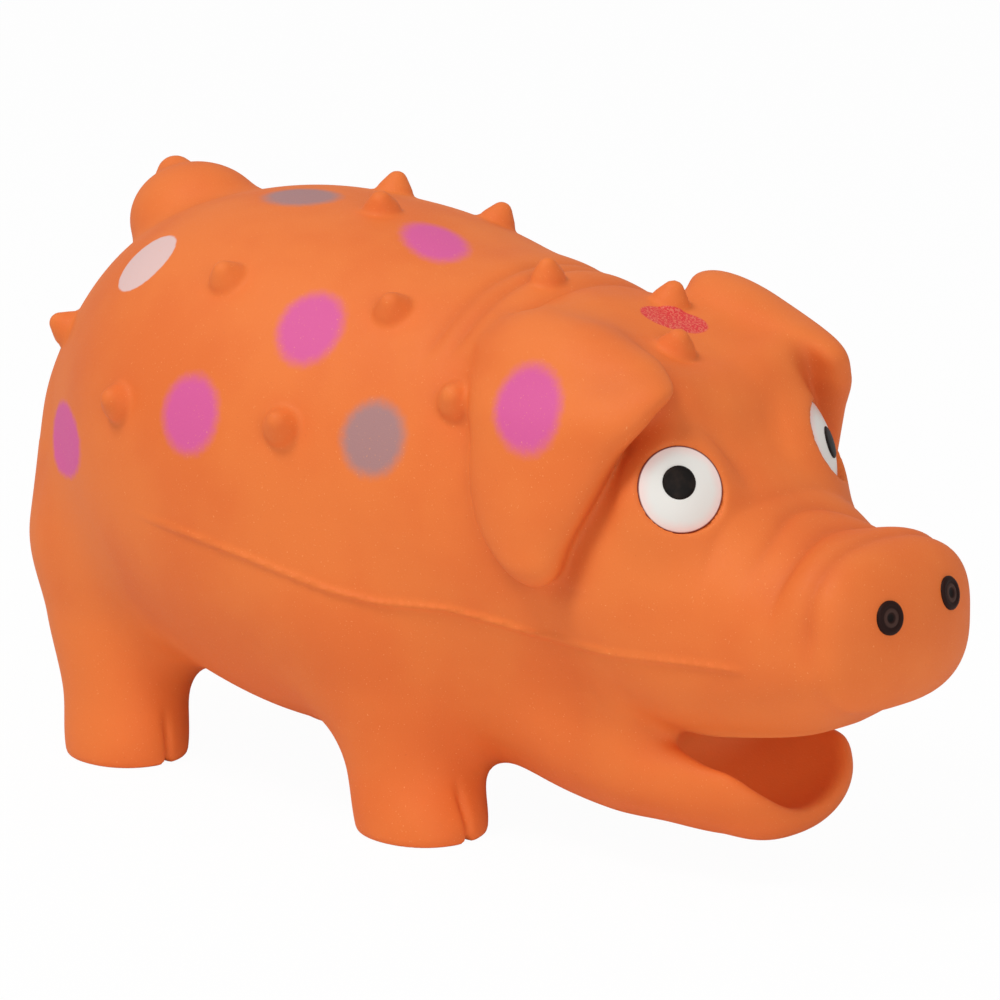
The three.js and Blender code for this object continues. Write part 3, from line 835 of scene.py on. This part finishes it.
def spot_share(n, place, wobble, skin, spot):
    """How much of each place a spot's paint covers, from 0 to 1, with a slightly ragged edge."""
    centre, along, up, degrees, paint, edge = spot
    middle, normal = settle(skin, centre)
    normal = Vector(normal[0])
    side, top = spot_axes(normal, degrees)
    reach = RED_REACH if paint == RED else SPOT_REACH
    mapping = n.add("ShaderNodeMapping", {"vector_type": "TEXTURE"}, Vector=place)
    n.set(mapping.inputs["Location"], Vector(middle[0] * MM))
    n.set(mapping.inputs["Rotation"], Matrix((side, top, normal)).transposed().to_euler())
    n.set(mapping.inputs["Scale"], (along / 2 * MM, up / 2 * MM, reach * MM))
    away = n.add("ShaderNodeVectorMath", {"operation": "LENGTH"})
    n.set(away.inputs[0], mapping.outputs["Vector"])
    ragged = 0.16 if edge > 1 else 0.06
    rough = n.math("MULTIPLY_ADD", wobble, ragged, -ragged / 2)
    spread = edge / along
    return n.ramp(n.math("ADD", away.outputs["Value"], rough), 1 + spread, 1 - spread * 1.6)


def painted_tone(n, place, mottle, skin):
    """Mottled orange with the painted spots on it."""
    tone = n.mix(n.ramp(mottle, 0.35, 0.65), colour(LATEX), colour(LATEX_DARK))
    wobble = n.noise(WOBBLE, 2, place)
    specks = n.ramp(n.noise(SPECKS, 1, place), 0.5, 0.56)
    speckled = n.mix(n.math("MULTIPLY", specks, 0.45), colour(RED), colour(RED_SPECKS))
    for spot in SPOTS:
        paint = spot[4]
        ink = speckled if paint == RED else colour(paint)
        tone = n.mix(spot_share(n, place, wobble, skin, spot), tone, ink)
    return tone


def latex_material(skin):
    n = Nodes("speckled_orange_latex")
    place = n.position()
    mottle = n.noise(BLOTCH, 3, place)
    tone = painted_tone(n, place, mottle, skin)
    # Painted shade: the skin is darkened in the folds and under the front edges of the ears
    tone = n.mix(n.math("MULTIPLY", n.stored("crease"), 0.5), tone, colour(FOLD_SHADE))
    # Painted light: the inside of the mouth is painted a lighter orange to brighten it
    tone = n.mix(n.stored("mouth"), tone, colour(MOUTH_PAINTED_LIGHT))
    grain = n.noise(SPECKS, 2, place)
    tone = n.mix(n.ramp(grain, 0.66, 0.76, 0, 0.5), tone, colour(FLECK))
    pores = n.ramp(n.noise(PITS, 2, place), 0.3, 0.2, 0, 0.25)
    tone = n.mix(pores, tone, colour(PORE))
    n.set(n.shader.inputs["Base Color"], tone)
    n.set(n.shader.inputs["Roughness"], n.ramp(grain, 0.3, 0.7, 0.6, 0.72))
    n.set(n.shader.inputs["Specular IOR Level"], 0.35)
    n.bump(n.math("ADD", grain, n.math("MULTIPLY", mottle, 2.0)), 0.00008, 0.5)
    return n.material


def eye_material():
    """White with a pink blush towards the rim and a thin dark red edge."""
    n = Nodes("white_eye_paint")
    share = n.stored("share")
    uneven = n.math("MULTIPLY", n.noise(220, 3), 0.22)
    blush = n.ramp(n.math("ADD", share, uneven), 0.8, 1.12, 0, 0.8)
    tone = n.mix(blush, colour("eceae4"), colour("fbd9d2"))
    tone = n.mix(n.ramp(share, 0.955, 0.985), tone, colour("7a2c22"))
    n.set(n.shader.inputs["Base Color"], tone)
    n.set(n.shader.inputs["Roughness"], 0.42)
    n.bump(n.noise(BRUSH, 2), 0.00003, 0.4)
    return n.material


def pupil_material():
    n = Nodes("black_pupil_paint")
    brushed = n.ramp(n.noise(420, 3), 0.4, 0.75)
    n.set(n.shader.inputs["Base Color"], n.mix(brushed, colour("120d0b"), colour("241a15")))
    n.set(n.shader.inputs["Roughness"], 0.5)
    n.set(n.shader.inputs["Specular IOR Level"], 0.15)
    n.bump(n.noise(BRUSH, 2), 0.00003, 0.4)
    return n.material


def nostril_material():
    """Dark brown, with a paler ring round a black middle, which is painted shade standing in for the
    vent hole.
    """
    n = Nodes("brown_nostril_paint")
    share = n.stored("share")
    ring = n.math("MULTIPLY", n.ramp(share, 0.28, 0.36), n.ramp(share, 0.62, 0.5))
    tone = n.mix(ring, colour("230c08"), colour("47302a"))
    # Painted shade: the middle is painted black where the vent hole's shade would be
    tone = n.mix(n.ramp(share, 0.26, 0.18), tone, colour("080404"))
    tone = n.mix(n.math("MULTIPLY", n.noise(BRUSH, 2), 0.2), tone, colour("3a1a12"))
    n.set(n.shader.inputs["Base Color"], tone)
    n.set(n.shader.inputs["Roughness"], 0.55)
    n.set(n.shader.inputs["Specular IOR Level"], 0.15)
    n.bump(n.noise(PITS, 2), 0.00003, 0.4)
    return n.material


def fibre_material():
    n = Nodes("white_fibre")
    strands = n.noise(BRUSH, 6)
    n.set(n.shader.inputs["Base Color"], n.mix(strands, colour("e6e2d8"), colour("fbf9f4")))
    n.set(n.shader.inputs["Roughness"], 0.95)
    n.bump(strands, 0.0006, 0.8)
    return n.material


def plastic_material(name, shade, dark, roughness, grain=1200):
    n = Nodes(name)
    mould = n.noise(grain, 2)
    n.set(n.shader.inputs["Base Color"], n.mix(mould, colour(shade), colour(dark)))
    n.set(n.shader.inputs["Roughness"], n.ramp(mould, 0.3, 0.7, roughness, roughness + 0.08))
    n.bump(mould, 0.00004, 0.4)
    return n.material


# Pieces
def hollow_skin(skin):
    """The latex: a fine outer surface and a coarser inner one that faces into the hollow."""
    outer, outer_quads = surface_net(skin, OUTER_STEP)
    outer, _ = settle(skin, outer, 2)
    inner, inner_quads = surface_net(lambda p: skin(p) + WALL, INNER_STEP)
    inner_quads = inner_quads[:, ::-1] + len(outer)
    return np.concatenate([outer, inner]), np.concatenate([outer_quads, inner_quads])


def skin_piece(skin, material):
    points, quads = hollow_skin(skin)
    limbs = ["ear", "front_leg", "rear_leg"]
    nodes = ["body", "head", "lower_jaw", "tail"]
    nodes += [f"{limb}_{side}" for limb in limbs for side in ("left", "right")]
    obj = make_mesh("latex_skin", points, quads)
    # The crease share places the painted shade in the folds
    store(obj, "crease", crease_shade(points))
    # The mouth share places the painted light inside the mouth
    store(obj, "mouth", painted_mouth_light(points))
    return finish_piece(obj, material, "latex", *nodes)


def circle(sides):
    """Unit vectors round a circle."""
    turn = np.linspace(0, 2 * np.pi, sides, endpoint=False)
    return np.column_stack([np.cos(turn), np.sin(turn)])


def strip(a, b, sides):
    """Faces from the ring of points that starts at a to the one that starts at b."""
    return [(a + j, a + (j + 1) % sides, b + (j + 1) % sides, b + j) for j in range(sides)]


def disc_faces(rings, sides):
    """Faces of a disc: a fan round its middle point, then strips from ring to ring."""
    faces = [(0, 1 + (j + 1) % sides, 1 + j) for j in range(sides)]
    for i in range(rings - 1):
        faces += strip(1 + i * sides, 1 + (i + 1) * sides, sides)
    return faces


def turned_button(profile, sides=64):
    """A round piece from rows of [radius, height], closed at the middle of each face."""
    rings = [np.column_stack([circle(sides) * r, np.full(sides, z)]) for r, z in profile[1:-1]]
    points = np.concatenate([[(0, 0, profile[0][1])], *rings, [(0, 0, profile[-1][1])]])
    end = len(points) - 1
    last = end - sides
    fan = [(last + j, last + (j + 1) % sides, end) for j in range(sides)]
    return points, disc_faces(len(rings), sides) + fan


def seat_matrix(middle, normal):
    """The frame of something seated on the skin: Z outwards and Y as near to up as can be."""
    normal = Vector(normal)
    side = Vector((0, 0, 1)).cross(normal).normalized()
    up = normal.cross(side)
    turn = Matrix((side, up, normal)).transposed().to_4x4()
    return Matrix.Translation(Vector(middle) * MM) @ turn


def seated_button(name, profile, seat, material, slot, node, shift=(0, 0)):
    """A round piece on a seat, moved along it by the shift. It stores how far out each vertex lies."""
    points, faces = turned_button(profile)
    widest = max(r for r, _ in profile)
    radii = np.hypot(points[:, 0], points[:, 1]) / widest
    obj = make_mesh(name, points + np.array([*shift, 0]), faces, seat)
    store(obj, "share", radii)
    return finish_piece(obj, material, slot, node)


def dome_rows(radius, rim, height, shares):
    return [[radius * s, rim + height * (1 - s**2)] for s in shares]


def eye_white_profile():
    radius, sunk, rim, dome = (EYE[key] for key in ("radius", "sunk", "rim", "dome"))
    rows = dome_rows(radius, rim, dome, [1, 0.97, 0.9, 0.8, 0.65, 0.5, 0.35, 0.2])
    return [[0, -sunk], [radius, -sunk], *rows, [0, rim + dome]]


def pupil_profile():
    base = EYE["dome"] + EYE["rim"] - PUPIL["sunk"]
    radius, rim = PUPIL["radius"], base + PUPIL["rim"]
    rows = dome_rows(radius, rim, PUPIL["dome"], [0.9, 0.7, 0.4])
    return [[0, base], [radius, base], [radius, base + PUPIL["edge"]], *rows, [0, rim + PUPIL["dome"]]]


def nostril_profile():
    radius = NOSTRIL_RADIUS
    rows = [[radius * share, height] for share, height in NOSTRIL_RINGS]
    return [[0, -NOSTRIL_SUNK], [radius, -NOSTRIL_SUNK], *rows, [0, NOSTRIL_HOLE]]


def eye_pieces(side, white, black):
    seat = seat_matrix(*eye_seat(side))
    name = f"eye_white_dome_{side}"
    seated_button(name, eye_white_profile(), seat, white, "eye", f"eye_white_{side}")
    name = f"pupil_dome_{side}"
    seated_button(name, pupil_profile(), seat, black, "pupil", f"pupil_{side}", PUPIL_SHIFTS[side])


def nostril_piece(side, material):
    middle, normal = settle(core, NOSTRIL_SEATS[side])
    seat = seat_matrix(middle[0], normal[0])
    name = f"nostril_ring_{side}"
    seated_button(name, nostril_profile(), seat, material, "nostril", f"nostril_vent_{side}")


def belly_patch_piece(material):
    """The glued disc under the belly, bent to the skin and a little proud of it."""
    rings, sides = PATCH["rings"], TURN_SIDES
    reach = np.linspace(0.08, 1, rings) * PATCH["radius"]
    flat = np.concatenate([[(0, 0)], *[circle(sides) * r for r in reach]])
    start = np.column_stack([flat[:, 0] + POCKET["x"], flat[:, 1], np.full(len(flat), PATCH["under"])])
    under, normal = settle(core, start)
    inwards = PATCH["radius"] - np.linalg.norm(flat, axis=1)
    edge = np.clip(inwards / PATCH["bevel"], 0, 1)
    outer = under + normal * (PATCH["proud"] * np.sqrt(edge))[:, None]
    inner = under - normal * PATCH["sunk"]
    count = len(outer)
    last = count - sides
    faces = disc_faces(rings, sides)
    back = [tuple(count + v for v in reversed(f)) for f in faces]
    wall = strip(last, count + last, sides)
    obj = make_mesh("belly_patch_disc", np.concatenate([outer, inner]), faces + back + wall)
    return finish_piece(obj, material, "latex", "belly_patch")


def lumps(p):
    """Soft tufts for the fibre, a few millimetres across."""
    x, y, z = p.T / FIBRE["tuft"]
    across = np.sin(x + 1.3 * np.sin(0.7 * z)) * np.sin(y + 0.9 * np.sin(0.8 * x))
    return across * np.sin(z + np.sin(0.6 * y))


def fibre_piece(material):
    """The stuffing, with a round pocket for the grunter."""

    def fibre(p):
        pocket = np.hypot(p[:, 0] - POCKET["x"], p[:, 1]) - POCKET["radius"]
        pocket = np.maximum(pocket, p[:, 2] - POCKET["top"])
        plug = core(p) + WALL + FIBRE["gap"] + FIBRE["lump"] * lumps(p)
        return cut(plug, pocket, FIBRE["edge"])

    points, quads = surface_net(fibre, FIBRE_STEP)
    names = ["body_filling", "head_filling"]
    names += [f"{leg}_leg_filling_{side}" for leg in ("front", "rear") for side in ("left", "right")]
    return finish_piece(make_mesh("fibre_filling", points, quads), material, "filling", *names)


def bellows_profile():
    """Radius and height round the bellows' wall: up the outside, then down the inside."""
    b = BELLOWS
    up = np.linspace(b["start"], b["end"], 8 * b["folds"] + 1)
    wave = np.cos(2 * np.pi * b["folds"] * (up - b["start"]) / (b["end"] - b["start"]))
    radius = (b["high"] + b["low"]) / 2 - (b["high"] - b["low"]) / 2 * wave
    outer = [(b["collar"], b["bottom"]), (b["collar"], b["start"] - 1)]
    outer += list(zip(radius, up))
    outer += [(b["neck"], b["end"] + 1), (b["neck"], b["top"])]
    return outer + [(r - b["wall"], z) for r, z in reversed(outer)]


def bellows_piece(material):
    """The grunter's folded sleeve, as a fixed mesh. On the real toy it shortens as the top plate is
    pressed down.
    """
    profile, sides = bellows_profile(), TURN_SIDES
    points = [(POCKET["x"] + r * c, r * s, z) for r, z in profile for c, s in circle(sides)]
    faces = []
    for i in range(len(profile)):
        faces += strip(i * sides, (i + 1) % len(profile) * sides, sides)
    obj = make_mesh("bellows_sleeve", points, faces)
    finish_piece(obj, material, "bellows", "grunter_bellows")
    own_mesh(obj)
    return obj


def dress_grunter():
    """The grunter keeps its rigid CAD pieces, with moulded plastic and reed finishes."""
    plastic = plastic_material("moulded_plastic", "e9e6dc", "dedacd", 0.42)
    reed = plastic_material("reed_plastic", "b8322a", "a02822", 0.36)
    for node in ("grunter_base", "grunter_top_plate", "reed_tube", "reed_tongue", "reed_clip"):
        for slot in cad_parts[node].material_slots:
            slot.material = reed if node == "reed_tongue" else plastic


# Camera, lamps and floor
def make_camera():
    azimuth, elevation = np.radians([CAMERA_AZIMUTH, CAMERA_ELEVATION])
    level = np.cos(elevation)
    back = Vector((np.sin(azimuth) * level, -np.cos(azimuth) * level, np.sin(elevation)))
    data = bpy.data.cameras.new("camera")
    data.lens = CAMERA_LENS
    data.sensor_width = SENSOR_WIDTH
    camera = bpy.data.objects.new("camera", data)
    camera.location = CAMERA_TARGET + back * CAMERA_DISTANCE
    camera.rotation_euler = back.to_track_quat("Z", "Y").to_euler()
    bpy.context.collection.objects.link(camera)
    bpy.context.scene.camera = camera


def make_lamp(name, place, size, power):
    data = bpy.data.lights.new(name, "AREA")
    data.size = size
    data.energy = power
    lamp = bpy.data.objects.new(name, data)
    lamp.location = place
    lamp.rotation_euler = (Vector(place) - LAMP_TARGET).to_track_quat("Z", "Y").to_euler()
    bpy.context.collection.objects.link(lamp)


def make_world():
    """Soft light from all round, in front of a white background."""
    world = bpy.data.worlds.new("studio")
    world.use_nodes = True
    tree = world.node_tree
    soft = tree.nodes["Background"]
    soft.inputs["Color"].default_value = (1, 1, 1, 1)
    soft.inputs["Strength"].default_value = WORLD_STRENGTH
    seen = tree.nodes.new("ShaderNodeBackground")
    seen.inputs["Strength"].default_value = 1
    seen.inputs["Color"].default_value = (1, 1, 1, 1)
    rays = tree.nodes.new("ShaderNodeLightPath")
    mix = tree.nodes.new("ShaderNodeMixShader")
    tree.links.new(rays.outputs["Is Camera Ray"], mix.inputs[0])
    tree.links.new(soft.outputs[0], mix.inputs[1])
    tree.links.new(seen.outputs[0], mix.inputs[2])
    tree.links.new(mix.outputs[0], tree.nodes["World Output"].inputs[0])
    bpy.context.scene.world = world


def make_floor():
    """A pale floor that fades into the background and keeps the toy's shadow."""
    n = Nodes("pale_floor")
    n.set(n.shader.inputs["Base Color"], (0.93, 0.93, 0.92, 1))
    n.set(n.shader.inputs["Roughness"], 0.8)
    glow = n.add("ShaderNodeEmission", Color=(1, 1, 1, 1), Strength=1.0)
    rays = n.add("ShaderNodeLightPath")
    mix = n.add("ShaderNodeMixShader")
    n.set(mix.inputs[0], n.math("MULTIPLY", rays.outputs["Is Camera Ray"], FLOOR_GLOW))
    n.set(mix.inputs[1], n.shader.outputs[0])
    n.set(mix.inputs[2], glow.outputs[0])
    n.set(n.tree.nodes["Material Output"].inputs["Surface"], mix.outputs[0])
    corners = [(x * FLOOR_HALF, y * FLOOR_HALF, 0) for x, y in ((-1, -1), (1, -1), (1, 1), (-1, 1))]
    floor = make_mesh("floor", corners, [(0, 1, 2, 3)])
    floor.data.materials.append(n.material)


make_camera()
make_world()
make_lamp("key", (-0.08, -0.66, 1.2), 0.4, 7.5)
make_lamp("fill", (1.1, -0.5, 0.4), 0.5, 2.35)
make_floor()

skin_field = make_skin_field()
latex = latex_material(skin_field)
skin_piece(skin_field, latex)
belly_patch_piece(latex)
eye_white, pupil_black, nostril_brown = eye_material(), pupil_material(), nostril_material()
for side in ("left", "right"):
    eye_pieces(side, eye_white, pupil_black)
    nostril_piece(side, nostril_brown)
fibre_piece(fibre_material())
bellows_piece(plastic_material("soft_vinyl", "d8cdb4", "ccbf9f", 0.62, 800))
dress_grunter()

bpy.context.scene.view_settings.view_transform = "Standard"
